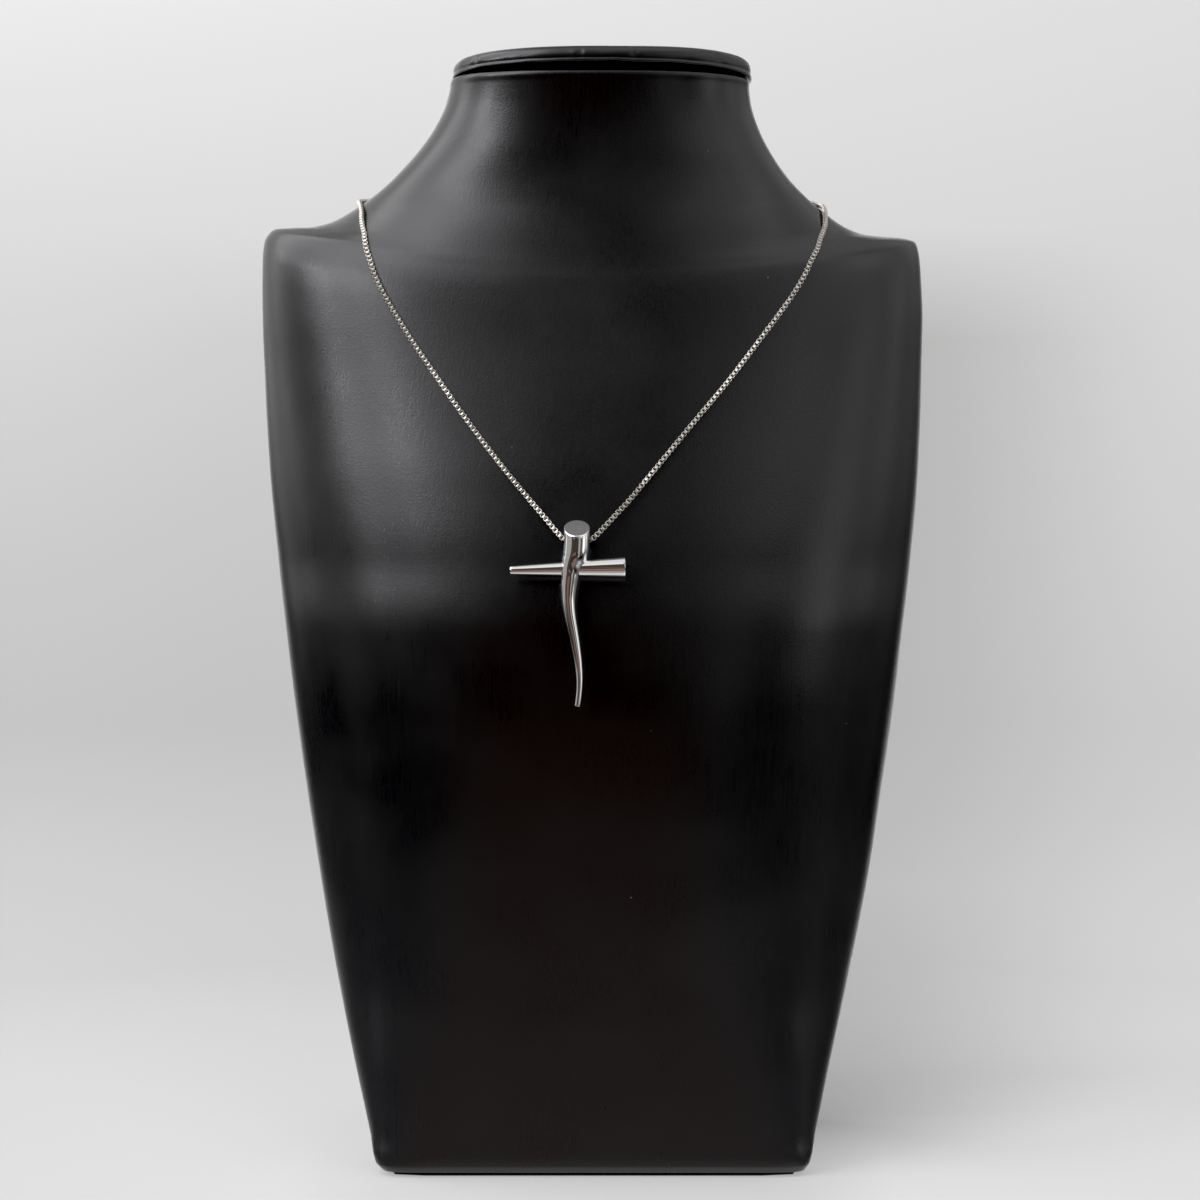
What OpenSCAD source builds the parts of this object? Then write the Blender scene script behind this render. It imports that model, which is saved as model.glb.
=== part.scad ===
// Cross necklace on its neck bust: a silver cross of two tapered horns on a box chain,
// worn over the shoulders of a black bust with a padded cap and a thin board under it.
// The front is towards -Y, left and right are the viewer's, and the bust stands on z = 0.

/* [Bust] */
// Dip of the neck's top edge at the front, which opens the groove below the cap
collar_dip = 1.2; // [0:0.1:3]
// Largest height of one band of the skin
band_h = 6; // [4:0.5:12]
// Number of sides round the bust
sides = 64; // [48:4:72]

/* [Cap] */
// Thickness of the cap at its rim
cap_t = 4.4; // [3:0.1:6]
// How far the cap stands out past the neck
cap_over = 0.5; // [0:0.1:2]
// How far the cap sits to the right of the neck's middle
cap_shift = 0.5; // [0:0.1:1]
// How much higher the padded middle of the cap is than its rim
cap_crown = 1.4; // [0:0.2:3]
// How much higher the cap's front edge is than its sides and back
cap_rise = 1.4; // [0:0.1:3]

/* [Base board] */
// Thickness of the board under the bust
board_t = 1.2; // [1:0.1:3]
// How far the board's edge lies inside the bust's
board_inset = 2; // [1:0.5:6]

/* [Cross] */
// Length of the stem below the middle of its cut top
stem_l = 46.9; // [44:0.1:48]
// Slope of the stem's cut top, towards the viewer
cut_slope = 38; // [25:1:42]
// Lean of the whole cross, which lies back with the chest
lean = 9.5; // [8.5:0.1:10.5]
// Length of the crossbar
bar_l = 30.2; // [28:0.1:31]
// Diameter of the crossbar's small end
bar_small_d = 2.2; // [1.8:0.1:2.6]
// Diameter of the crossbar's large end
bar_large_d = 5.6; // [5:0.1:5.7]
// Rise of the crossbar towards its large end, in degrees
bar_rise = 1.5; // [0:0.1:3]
// Bevel round the crossbar's ends
bar_bevel = 0.3; // [0.1:0.05:0.5]
// Diameter of the tunnel that the chain runs through
tunnel_d = 3.2; // [3:0.1:3.4]

/* [Chain] */
// Thickness of the box chain
chain_d = 1.3; // [1:0.1:1.3]

/* [Clasp] */
// Length of the barrel clasp behind the neck
clasp_l = 9; // [8:0.5:12]
// Diameter of the barrel clasp
clasp_d = 3; // [2.8:0.1:3.4]
// How deep the chain's ends sit in the clasp
clasp_grip = 1.2; // [0.8:0.1:2]

/* [Hidden] */
$fn = 48;

// Sections of the bust. Each is level in front and behind, and rises to its left and right ends, as the
// shoulders do. Its half widths and depths are taken from one upright line. Its front and back halves
// are as square as the last two columns say, where 2 is an ellipse.
LEVEL = 0; UP_LEFT = 1; UP_RIGHT = 2; LEFT = 3; RIGHT = 4; FRONT = 5; BACK = 6; FRONT_SQ = 7; BACK_SQ = 8;
SECTIONS = [
    // level, rise to the left, to the right, left, right, front, back, front squareness, back squareness
    [-0.9, 0, 0, 57.2, 57.3, 56.8, 30, 22, 6],
    [1.1, 0, 0, 59.2, 58.7, 58, 31.5, 18, 6],
    [8, 0, 0, 61.1, 60.6, 59, 32, 10, 5.5],
    [25, 0, 0, 65.8, 65.1, 61, 33, 5.8, 4.4],
    [48, 0, 0, 71.6, 71.2, 64, 34, 3.6, 3.5],
    [74, 0, 0, 76.6, 76.8, 68, 35.5, 2.9, 3],
    [100, 0, 0, 80.8, 81, 70.8, 36.5, 2.6, 2.8],
    [123, 0, 0, 84, 84.3, 72, 37, 2.5, 2.7],
    [144, 0, 0, 86.5, 86.8, 70.8, 37, 2.5, 2.6],
    [164, 0, 0, 88.8, 89.1, 67, 36.5, 2.4, 2.5],
    [183, 0.5, 0.5, 90.7, 90.8, 61.7, 35.5, 2.4, 2.45],
    [199, 1.5, 1.5, 91.8, 91.6, 56.5, 34.5, 2.4, 2.4],
    [212, 3.5, 3.5, 92.5, 92, 52.2, 33.2, 2.4, 2.35],
    [222.5, 6.5, 6.5, 93, 92.3, 48.7, 32.3, 2.4, 2.3],
    [230, 9, 9, 93.1, 91.9, 46.3, 31.6, 2.38, 2.28],
    [235, 11, 10.9, 93, 91.4, 44.7, 31.1, 2.33, 2.23],
    [238.5, 12.3, 11.6, 92.5, 90.5, 43.6, 30.8, 2.22, 2.16],
    [241.5, 12.2, 10, 90.7, 87.9, 42.6, 30.5, 2.14, 2.1],
    [245, 9.6, 7.1, 85.6, 82, 41.5, 30.1, 2.11, 2.08],
    [249, 5.8, 3.8, 79.3, 75.4, 40.3, 29.6, 2.14, 2.08],
    [253.5, 3, 1.7, 73, 69.7, 39, 29.1, 2.17, 2.08],
    [258, 1.6, 0.7, 67.4, 64.8, 37.8, 28.6, 2.17, 2.08],
    [263, 0.6, 0.1, 61.6, 59.6, 36.6, 28, 2.26, 2.06],
    [268, 0, 0, 56.4, 54.8, 35.5, 27.5, 2.42, 2.04],
    [274.5, 0, 0, 50.2, 50.1, 34.4, 27, 2.58, 2],
    [281.5, 0, 0, 45, 46.4, 33.5, 26.8, 2.64, 2],
    [288.5, 0, 0, 41.5, 44.1, 33, 26.6, 2.64, 2],
    [293, 0, 0, 40.3, 43.5, 32.8, 26.6, 2.64, 2],
    [296, 0, 0, 39.6, 43.2, 32.6, 26.5, 2.64, 2],
];
LAST = len(SECTIONS) - 1;
foot_level = SECTIONS[0][LEVEL];
neck_top = SECTIONS[LAST][LEVEL];
cap_gap = 0.2;
// The collar dips from this height up
collar_from = 272;

// Stem of the cross: distance below its top, shift across, diameter
STEM = [
    [-3.6, 0, 6.8],
    [0, 0, 6.8],
    [3.2, 0, 6.85],
    [6, -0.15, 6.85],
    [7.8, -0.5, 6.6],
    [9.2, -1, 6.05],
    [10.5, -1.4, 5.45],
    [11.8, -1.65, 5.05],
    [13.3, -1.85, 4.85],
    [15.9, -2.1, 4.4],
    [19, -2.2, 3.8],
    [21.6, -2, 3.45],
    [24.3, -1.6, 3.2],
    [26.9, -1.1, 3],
    [29.5, -0.6, 2.75],
    [32.1, -0.15, 2.5],
    [34.7, 0.25, 2.25],
    [37.4, 0.55, 2],
    [40, 0.7, 1.8],
    [42.6, 0.65, 1.65],
    [45.2, 0.4, 1.6],
    [stem_l, 0.15, 1.55],
];
stem_sides = 24;
// The stem's cut top, against the bust's upright line
CROSS_TOP = [-4.35, -69.21, 172.05];
bar_left = -17.5;
bar_down = 11.2;
bar_behind = 0.4;
tunnel_down = 3.1;

// Route of the chain, from the clasp over the left shoulder, through the cross and back over the right.
// Stations on the skin: angle round the bust (0 right, 90 behind, 180 left, 270 front), level, lift.
STATIONS_LEFT = [
    [97, 266, 1.9], [112, 265.8, 1], [130, 264.9, 1], [148, 263.2, 1], [165, 261.4, 1], [180, 260.2, 1],
    [194, 259, 1], [205, 256.6, 1], [213, 252.9, 1], [220.3, 248.2, 1], [226.4, 243.4, 1],
    [230.9, 238.4, 1], [235.2, 230.2, 0.9], [239.7, 220.7, 0.9], [244.5, 210.4, 0.9],
    [249.5, 199.4, 0.9], [254.6, 188.5, 0.9], [259.5, 178.8, 1.5], [264.1, 169.8, 3.3],
];
STATIONS_RIGHT = [
    [270.7, 169.6, 3.25], [276, 178.9, 1.45], [281, 188.6, 0.9], [286.6, 199.5, 0.9],
    [292.4, 210.4, 0.9], [297.8, 220.9, 0.9], [303.4, 230.5, 0.9], [309, 238.7, 1], [315.5, 243.8, 1],
    [322, 247.7, 1], [329, 251.5, 1], [337, 255.2, 1], [347, 258.1, 1], [360, 260, 1], [375, 261.5, 1],
    [392, 263.3, 1], [410, 264.8, 1], [428, 265.7, 1], [443, 266, 1.9],
];
// Points in the tunnel, across, behind and above the middle of the stem's top
TUNNEL_RUN = [[-3.2, 0, -2.95], [0, 0, -3.5], [3.3, 0, -3.2]];
chain_sides = 8;
// How much an angle across the chain's rings is stretched, so that they turn evenly over the shoulders
ring_stretch = 2;

clasp_z = 266;
clasp_gap = 0.25;
// Room round the chain's ends in the clasp, its wall there and how far its ends taper
clasp_play = 0.3;
clasp_wall = 0.45;
clasp_taper = 1.5;

// The whole is set so that its box stands over the origin, with the bust's foot on its board. The stem's
// tip reaches furthest to the front.
widest_left = max([for (s = SECTIONS) s[LEFT]]);
widest_right = max([for (s = SECTIONS) s[RIGHT]]);
front_reach = stem_l * sin(lean) + STEM[len(STEM) - 1][2] / 2 - CROSS_TOP.y;
back_reach = max([for (s = SECTIONS) s[BACK]]);
SHIFT = [(widest_left - widest_right) / 2, (front_reach - back_reach) / 2, board_t - foot_level];

function unit(v) = v / norm(v);
function ease(x, low, high) = let (u = max(0, min(1, (x - low) / (high - low)))) u * u * (3 - 2 * u);

// One column of a table at any height, by a cubic that never overshoots the rows beside it
function band(i) = SECTIONS[i + 1][LEVEL] - SECTIONS[i][LEVEL];
function slope(i, c) = (SECTIONS[i + 1][c] - SECTIONS[i][c]) / band(i);
function tangent(i, c) = i == 0 ? slope(0, c) : i == LAST ? slope(LAST - 1, c)
    : let (a = slope(i - 1, c), b = slope(i, c)) a * b <= 0 ? 0 : 2 * a * b / (a + b);
function row_below(z, i = 0) = i >= LAST - 1 || z < SECTIONS[i + 1][LEVEL] ? i : row_below(z, i + 1);
function column(z, c) = let (
        i = row_below(z),
        h = band(i),
        u = (z - SECTIONS[i][LEVEL]) / h
    )
    (1 + 2 * u) * (1 - u) ^ 2 * SECTIONS[i][c] + u * (1 - u) ^ 2 * h * tangent(i, c)
    + u ^ 2 * (3 - 2 * u) * SECTIONS[i + 1][c] + u ^ 2 * (u - 1) * h * tangent(i + 1, c);

// The row that the table has at any level, and its outline, which may be grown
function section(z) = [for (c = [LEVEL : BACK_SQ]) c == LEVEL ? z : column(z, c)];
function oval(s, angle, grow = 0) = let (
        c = cos(angle),
        n = sin(angle),
        w = grow + (c < 0 ? s[LEFT] : s[RIGHT]),
        d = grow + (n < 0 ? s[FRONT] : s[BACK]),
        p = n < 0 ? s[FRONT_SQ] : s[BACK_SQ],
        k = (abs(c) ^ p + abs(n) ^ p) ^ (-1 / p)
    )
    [w * c * k, d * n * k];
function skin_on(s, angle) = let (
        q = oval(s, angle),
        up = (cos(angle) < 0 ? s[UP_LEFT] : s[UP_RIGHT]) * cos(angle) ^ 2,
        dip = collar_dip * min(0, sin(angle)) ^ 2 * ease(s[LEVEL], collar_from, neck_top)
    )
    [q.x, q.y, s[LEVEL] + up - dip];
function skin(z, angle) = skin_on(section(z), angle);
function outward(z, angle, e = 0.05) = unit(cross(
    skin(z, angle + e) - skin(z, angle - e), skin(z + e, angle) - skin(z - e, angle)));

// Evenly spaced values between the rows of a list, on a smooth curve through them
function between(a, b, c, d, u) = b + 0.5 * u * (c - a + u * (2 * a - 5 * b + 4 * c - d
    + u * (3 * (b - c) + d - a)));
function smooth(rows, n) = let (last = len(rows) - 1)
    concat([for (i = [0 : last - 1], k = [0 : n - 1])
        between(rows[max(i - 1, 0)], rows[i], rows[i + 1], rows[min(i + 2, last)], k / n)], [rows[last]]);
function on_skin(stations) = [for (s = smooth(stations, 2)) skin(s[1], s[0]) + outward(s[1], s[0]) * s[2]];

// Closed solid through a list of rings with the same number of points, whose ends fan from a middle point
module loft(rings, low, high) {
    n = len(rings[0]);
    m = len(rings);
    points = concat([for (r = rings) each r], [low, high]);
    walls = [for (j = [0 : m - 2], i = [0 : n - 1]) let (a = j * n + i, b = j * n + (i + 1) % n)
        each [[a, a + n, b + n], [a, b + n, b]]];
    ends = [for (i = [0 : n - 1]) each [[i, (i + 1) % n, m * n],
        [(m - 1) * n + (i + 1) % n, (m - 1) * n + i, m * n + 1]]];
    polyhedron(points, concat(walls, ends), convexity = 6);
}

// Moves a point given from the cross's own top to its place on the chest
function on_cross(p) = CROSS_TOP
    + [p.x, p.y * cos(lean) + p.z * sin(lean), -p.y * sin(lean) + p.z * cos(lean)];

module bust_body() {
    levels = concat([foot_level], [for (i = [0 : LAST - 1]) let (n = ceil(band(i) / band_h))
        each [for (k = [1 : n]) SECTIONS[i][LEVEL] + band(i) * k / n]]);
    rings = [for (z = levels) let (s = section(z)) [for (i = [0 : sides - 1]) skin_on(s, 360 * i / sides)]];
    color([0.06, 0.06, 0.065]) translate(SHIFT)
        loft(rings, [0, 0, foot_level], [0, 0, neck_top]);
}

module bust_cap() {
    neck = section(neck_top);
    middle = cap_shift + (neck[RIGHT] - neck[LEFT]) / 2;
    bottom = neck_top + cap_gap;
    // How far each ring of the cap lies inside its rim, its height above the bottom and its share of the rise
    profile = [[1.6, 0, 1], [0.5, 0.5, 1], [0, cap_t * 0.4, 1], [0.1, cap_t * 0.65, 1],
        [0.9, cap_t * 0.92, 1], [2.4, cap_t, 0.95], [9, cap_t + cap_crown * 0.45, 0.65],
        [20, cap_t + cap_crown * 0.85, 0.2]];
    rings = [for (r = profile) [for (i = [0 : sides - 1])
        let (a = 360 * i / sides, q = oval(neck, a, cap_over - r[0]))
        [q.x + cap_shift, q.y, bottom + r[1] + cap_rise * r[2] * min(0, sin(a)) ^ 2]]];
    color([0.07, 0.07, 0.075]) translate(SHIFT)
        loft(rings, [middle, 0, bottom], [middle, 0, bottom + cap_t + cap_crown]);
}

module base_board() {
    foot = section(foot_level);
    color([0.05, 0.045, 0.04]) translate([SHIFT.x, SHIFT.y, 0])
        linear_extrude(board_t)
            polygon([for (i = [0 : sides - 1]) oval(foot, 360 * i / sides, -board_inset)]);
}

module horn_stem() {
    rows = smooth(STEM, 2);
    m = len(rows) - 1;
    // Ring i lies square to the curve through the rows beside it
    rings = [for (i = [m : -1 : 0])
        let (
            along = rows[min(i + 1, m)] - rows[max(i - 1, 0)],
            tip = atan2(along[1], along[0]),
            r = rows[i][2] / 2
        )
        [for (k = [0 : stem_sides - 1]) let (a = 360 * k / stem_sides)
            [rows[i][1] + r * cos(a) * cos(tip), r * sin(a), -rows[i][0] + r * cos(a) * sin(tip)]]];
    loft(rings, [rows[m][1], 0, -rows[m][0]], [rows[0][1], 0, -rows[0][0]]);
}

module horn_bar() {
    r1 = bar_small_d / 2;
    r2 = bar_large_d / 2;
    translate([bar_left, bar_behind, -bar_down]) rotate([0, 90 - bar_rise, 0]) rotate_extrude()
        polygon([[0, 0], [r1 - bar_bevel, 0], [r1, bar_bevel], [r2, bar_l - bar_bevel],
            [r2 - bar_bevel, bar_l], [0, bar_l]]);
}

module cross_pendant() {
    block = 20;
    color([0.82, 0.82, 0.83]) translate(SHIFT + CROSS_TOP) rotate([-lean, 0, 0]) difference() {
        union() {
            horn_stem();
            horn_bar();
        }
        rotate([cut_slope, 0, 0]) translate([-block / 2, -block / 2, 0]) cube(block);
        translate([-block / 2, 0, -tunnel_down]) rotate([0, 90, 0]) cylinder(h = block, d = tunnel_d);
    }
}

module box_chain() {
    end_x = clasp_l / 2 - clasp_grip;
    end_y = section(clasp_z)[BACK] + clasp_gap + clasp_d / 2;
    route = concat([[-end_x, end_y, clasp_z]], on_skin(STATIONS_LEFT), [for (p = TUNNEL_RUN) on_cross(p)],
        on_skin(STATIONS_RIGHT), [[end_x, end_y, clasp_z]]);
    m = len(route) - 1;
    r = chain_d / 2;
    rings = [for (i = [0 : m])
        let (
            along = unit(route[min(i + 1, m)] - route[max(i - 1, 0)]),
            out = [route[i].x, ring_stretch * route[i].y, 0],
            side = unit(cross(along, out)),
            up = cross(side, along)
        )
        [for (k = [0 : chain_sides - 1]) let (a = 360 * (k + 0.5) / chain_sides)
            route[i] + r * (cos(a) * up + sin(a) * side)]];
    color([0.85, 0.85, 0.86]) translate(SHIFT) loft(rings, route[0], route[m]);
}

module clasp() {
    r = clasp_d / 2;
    h = clasp_l / 2;
    hole = chain_d / 2 + clasp_play;
    rim = hole + clasp_wall;
    floor = h - clasp_grip - clasp_play;
    color([0.82, 0.82, 0.83]) translate(SHIFT + [0, section(clasp_z)[BACK] + clasp_gap + r, clasp_z])
        rotate([0, 90, 0]) rotate_extrude()
            polygon([[0, -floor], [hole, -floor], [hole, -h], [rim, -h], [r, clasp_taper - h],
                [r, h - clasp_taper], [rim, h], [hole, h], [hole, floor], [0, floor]]);
}

bust_body();
bust_cap();
base_board();
cross_pendant();
box_chain();
clasp();
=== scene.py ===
"""Looks of the cross necklace on its neck bust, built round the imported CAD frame.

Everything is in metres in the frame of the CAD: the front is towards -Y, left and right are the
viewer's, and the bust stands on z = 0. The tables repeat those of the CAD source. They are given
against the bust's upright line, and SHIFT takes them to the frame.
"""
import math
import random

import bpy
import numpy as np
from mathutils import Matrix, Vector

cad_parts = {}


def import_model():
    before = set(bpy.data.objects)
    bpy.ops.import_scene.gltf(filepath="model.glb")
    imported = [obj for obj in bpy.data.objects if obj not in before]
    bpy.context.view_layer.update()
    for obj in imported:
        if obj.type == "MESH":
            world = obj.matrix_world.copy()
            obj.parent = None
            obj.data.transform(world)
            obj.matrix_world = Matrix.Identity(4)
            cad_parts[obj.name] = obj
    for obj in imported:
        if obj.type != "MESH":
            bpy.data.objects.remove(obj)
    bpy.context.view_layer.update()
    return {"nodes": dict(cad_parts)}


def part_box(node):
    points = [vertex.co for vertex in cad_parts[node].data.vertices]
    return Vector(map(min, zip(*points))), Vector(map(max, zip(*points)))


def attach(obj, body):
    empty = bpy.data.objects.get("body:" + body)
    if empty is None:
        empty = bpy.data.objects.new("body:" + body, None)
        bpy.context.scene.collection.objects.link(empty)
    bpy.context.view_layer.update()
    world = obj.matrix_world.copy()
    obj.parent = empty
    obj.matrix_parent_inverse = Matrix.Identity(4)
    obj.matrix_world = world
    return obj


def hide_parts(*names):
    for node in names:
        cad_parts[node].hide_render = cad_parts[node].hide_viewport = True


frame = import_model()

# Sections of the bust: level, rise to the left, rise to the right, half widths left and right, half
# depths front and back, squareness of the front and back halves
SECTIONS = np.array([
    [-0.0009, 0.0, 0.0, 0.0572, 0.0573, 0.0568, 0.03, 22, 6],
    [0.0011, 0.0, 0.0, 0.0592, 0.0587, 0.058, 0.0315, 18, 6],
    [0.008, 0.0, 0.0, 0.0611, 0.0606, 0.059, 0.032, 10, 5.5],
    [0.025, 0.0, 0.0, 0.0658, 0.0651, 0.061, 0.033, 5.8, 4.4],
    [0.048, 0.0, 0.0, 0.0716, 0.0712, 0.064, 0.034, 3.6, 3.5],
    [0.074, 0.0, 0.0, 0.0766, 0.0768, 0.068, 0.0355, 2.9, 3],
    [0.1, 0.0, 0.0, 0.0808, 0.081, 0.0708, 0.0365, 2.6, 2.8],
    [0.123, 0.0, 0.0, 0.084, 0.0843, 0.072, 0.037, 2.5, 2.7],
    [0.144, 0.0, 0.0, 0.0865, 0.0868, 0.0708, 0.037, 2.5, 2.6],
    [0.164, 0.0, 0.0, 0.0888, 0.0891, 0.067, 0.0365, 2.4, 2.5],
    [0.183, 0.0005, 0.0005, 0.0907, 0.0908, 0.0617, 0.0355, 2.4, 2.45],
    [0.199, 0.0015, 0.0015, 0.0918, 0.0916, 0.0565, 0.0345, 2.4, 2.4],
    [0.212, 0.0035, 0.0035, 0.0925, 0.092, 0.0522, 0.0332, 2.4, 2.35],
    [0.2225, 0.0065, 0.0065, 0.093, 0.0923, 0.0487, 0.0323, 2.4, 2.3],
    [0.23, 0.009, 0.009, 0.0931, 0.0919, 0.0463, 0.0316, 2.38, 2.28],
    [0.235, 0.011, 0.0109, 0.093, 0.0914, 0.0447, 0.0311, 2.33, 2.23],
    [0.2385, 0.0123, 0.0116, 0.0925, 0.0905, 0.0436, 0.0308, 2.22, 2.16],
    [0.2415, 0.0122, 0.01, 0.0907, 0.0879, 0.0426, 0.0305, 2.14, 2.1],
    [0.245, 0.0096, 0.0071, 0.0856, 0.082, 0.0415, 0.0301, 2.11, 2.08],
    [0.249, 0.0058, 0.0038, 0.0793, 0.0754, 0.0403, 0.0296, 2.14, 2.08],
    [0.2535, 0.003, 0.0017, 0.073, 0.0697, 0.039, 0.0291, 2.17, 2.08],
    [0.258, 0.0016, 0.0007, 0.0674, 0.0648, 0.0378, 0.0286, 2.17, 2.08],
    [0.263, 0.0006, 0.0001, 0.0616, 0.0596, 0.0366, 0.028, 2.26, 2.06],
    [0.268, 0.0, 0.0, 0.0564, 0.0548, 0.0355, 0.0275, 2.42, 2.04],
    [0.2745, 0.0, 0.0, 0.0502, 0.0501, 0.0344, 0.027, 2.58, 2],
    [0.2815, 0.0, 0.0, 0.045, 0.0464, 0.0335, 0.0268, 2.64, 2],
    [0.2885, 0.0, 0.0, 0.0415, 0.0441, 0.033, 0.0266, 2.64, 2],
    [0.293, 0.0, 0.0, 0.0403, 0.0435, 0.0328, 0.0266, 2.64, 2],
    [0.296, 0.0, 0.0, 0.0396, 0.0432, 0.0326, 0.0265, 2.64, 2],
])
LEVEL, UP_LEFT, UP_RIGHT, LEFT, RIGHT, FRONT, BACK, FRONT_SQ, BACK_SQ = range(9)
FOOT = SECTIONS[0, LEVEL]
NECK_TOP = SECTIONS[-1, LEVEL]

# Top of the neck: where its front edge dips and by how much, its rolled lip, and the swell under the lip
COLLAR_FROM = 0.272
COLLAR_DIP = 0.0002
LIP = 0.0016
SWELL = 0.0002
SWELL_DOWN = 0.0016
SWELL_WIDTH = 0.0009
# From the lip to the core under the cap: how far inside the lip, share of the way to the core, drop
CORE_TOP = NECK_TOP - 0.0001
CORE = [
    (2 * LIP, 0, 0.0006), (0.0042, 0, 0.0009), (0.0052, 0.06, 0.0006), (0.006, 0.35, 0.0002),
    (0.0066, 0.8, 0), (0.0075, 1, 0),
]
# Seam behind: its valley and the rolls beside it
SEAM_DEPTH = 0.0004
SEAM_WIDTH = 0.0003
SEAM_ROLL = 0.00014
SEAM_ROLL_AT = 0.0011
SEAM_ROLL_WIDTH = 0.0006

# Cap: its foot and crown, how far it stands over the neck, and how its rim rises and sags
CAP_BOTTOM = 0.2962
CAP_CROWN = 0.0061
CAP_OVER = 0.0005
CAP_SHIFT = 0.0005
CAP_RISE = 0.0014
CAP_RIGHT_RISE = 0.0005
CAP_SAG = 0.001
# How far each ring of the cap lies inside the welt, its height and its share of the front's rise
CAP_RIM = [
    (0.0025, 0.0001, 1), (0.001, 0.0, 1), (0.0005, 0.00003, 1), (0.00014, 0.0002, 1),
    (0.0, 0.0005, 1), (0.0001, 0.0008, 1), (0.00026, 0.00105, 1), (0.00028, 0.00125, 1),
    (0.00026, 0.0017, 1), (0.0004, 0.0024, 1), (0.0008, 0.0032, 1), (0.0015, 0.0039, 1),
    (0.0026, 0.0044, 0.96), (0.0042, 0.0049, 0.86), (0.0064, 0.0053, 0.72),
    (0.0095, 0.0056, 0.52), (0.0145, 0.0059, 0.3), (0.02, 0.006, 0.15),
]
# Pinches of the cap's rim: angle, depth, width in degrees
PINCHES = [
    (220, 0.00034, 1.3), (237, 0.00012, 1.6), (264, 0.0004, 1.1), (284, 0.00034, 1.3),
    (315, 0.00034, 1.2), (352, 0.00018, 1.8), (20, 0.0002, 1.5), (48, 0.00026, 1.3),
    (83, 0.00018, 1.6), (118, 0.00028, 1.2), (151, 0.0002, 1.6), (186, 0.00022, 1.3),
]

# Route of the chain on the skin: angle round the bust, level, lift off the skin
STATIONS_LEFT = [
    (97, 0.266, 0.0019), (112, 0.2658, 0.001), (130, 0.2649, 0.001), (148, 0.2632, 0.001),
    (165, 0.2614, 0.001), (180, 0.2602, 0.001), (194, 0.259, 0.001), (205, 0.2566, 0.001),
    (213, 0.2529, 0.001), (220.3, 0.2482, 0.001), (226.4, 0.2434, 0.001), (230.9, 0.2384, 0.001),
    (235.2, 0.2302, 0.0009), (239.7, 0.2207, 0.0009), (244.5, 0.2104, 0.0009),
    (249.5, 0.1994, 0.0009), (254.6, 0.1885, 0.0009), (259.5, 0.1788, 0.0015),
    (264.1, 0.1698, 0.0033),
]
STATIONS_RIGHT = [
    (270.7, 0.1696, 0.00325), (276, 0.1789, 0.00145), (281, 0.1886, 0.0009),
    (286.6, 0.1995, 0.0009), (292.4, 0.2104, 0.0009), (297.8, 0.2209, 0.0009),
    (303.4, 0.2305, 0.0009), (309, 0.2387, 0.001), (315.5, 0.2438, 0.001), (322, 0.2477, 0.001),
    (329, 0.2515, 0.001), (337, 0.2552, 0.001), (347, 0.2581, 0.001), (360, 0.26, 0.001),
    (375, 0.2615, 0.001), (392, 0.2633, 0.001), (410, 0.2648, 0.001), (428, 0.2657, 0.001),
    (443, 0.266, 0.0019),
]
# Points of the chain inside the cross, and the clasp behind the neck
TUNNEL_RUN = [(-0.0032, 0, -0.00295), (0, 0, -0.0035), (0.0033, 0, -0.0032)]
CHAIN_END_X = 0.0033
CLASP_LEVEL = 0.266
CLASP_GAP = 0.00025
CLASP_RADIUS = 0.0015
CLASP_HALF = 0.0045
CLASP_HOLE = 0.003
CLASP_HOLE_R = 0.00095
KNURL = 0.00005

# Roll of the chain about its own line: way along it from the cross, to the right, and degrees
ROLL = [
    (-0.21, 30), (-0.12, 45), (-0.085, 45), (-0.068, 32), (-0.055, 8), (-0.045, 0), (0.0, 0),
    (0.019, 4), (0.026, 28), (0.042, 24), (0.06, 40), (0.12, 45), (0.16, 20), (0.21, 0),
]
# Box links: pitch, outer width, their strip's thickness and width, play between two, corners, softened
# edges, and how unevenly they roll, in degrees
LINK_PITCH = 0.000708
LINK_WIDTH = 0.00132
LINK_THICKNESS = 0.00017
LINK_STRIP = 0.00076
LINK_PLAY = 0.00003
LINK_CORNER = 0.00032
LINK_EDGE = 0.00003
LINK_UNEVEN = 3

# Stem of the cross: distance below its top, shift across, diameter
STEM = [
    (0.0032, 0.0, 0.00685), (0.006, -0.00015, 0.00685), (0.0078, -0.0005, 0.0066),
    (0.0092, -0.001, 0.00605), (0.0105, -0.0014, 0.00545), (0.0118, -0.00165, 0.00505),
    (0.0133, -0.00185, 0.00485), (0.0159, -0.0021, 0.0044), (0.019, -0.0022, 0.0038),
    (0.0216, -0.002, 0.00345), (0.0243, -0.0016, 0.0032), (0.0269, -0.0011, 0.003),
    (0.0295, -0.0006, 0.00275), (0.0321, -0.00015, 0.0025), (0.0347, 0.00025, 0.00225),
    (0.0374, 0.00055, 0.002), (0.04, 0.0007, 0.0018), (0.0426, 0.00065, 0.00165),
    (0.0452, 0.0004, 0.0016), (0.0469, 0.00015, 0.00155),
]
# Both horns: sides of their rings, softened edges, the stem's slanted top, how the cross leans back and
# where its top is, the bar's place and radii, and the tunnel below the top
ROUND_SIDES = 96
EDGE = 0.00022
TIP_EDGE = 0.00012
STEM_TOP_D = 0.0068
CUT_SLOPE = math.radians(38)
LEAN = math.radians(9.5)
CROSS_TOP = np.array([-0.00435, -0.06921, 0.17205])
BAR_LEFT = -0.0175
BAR_DOWN = 0.0112
BAR_BEHIND = 0.0004
BAR_LENGTH = 0.0302
BAR_SMALL_R = 0.0011
BAR_LARGE_R = 0.0028
BAR_RISE = math.radians(1.5)
TUNNEL_DOWN = 0.0031
TUNNEL_R = 0.0016
TUNNEL_REACH = 0.006

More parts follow.
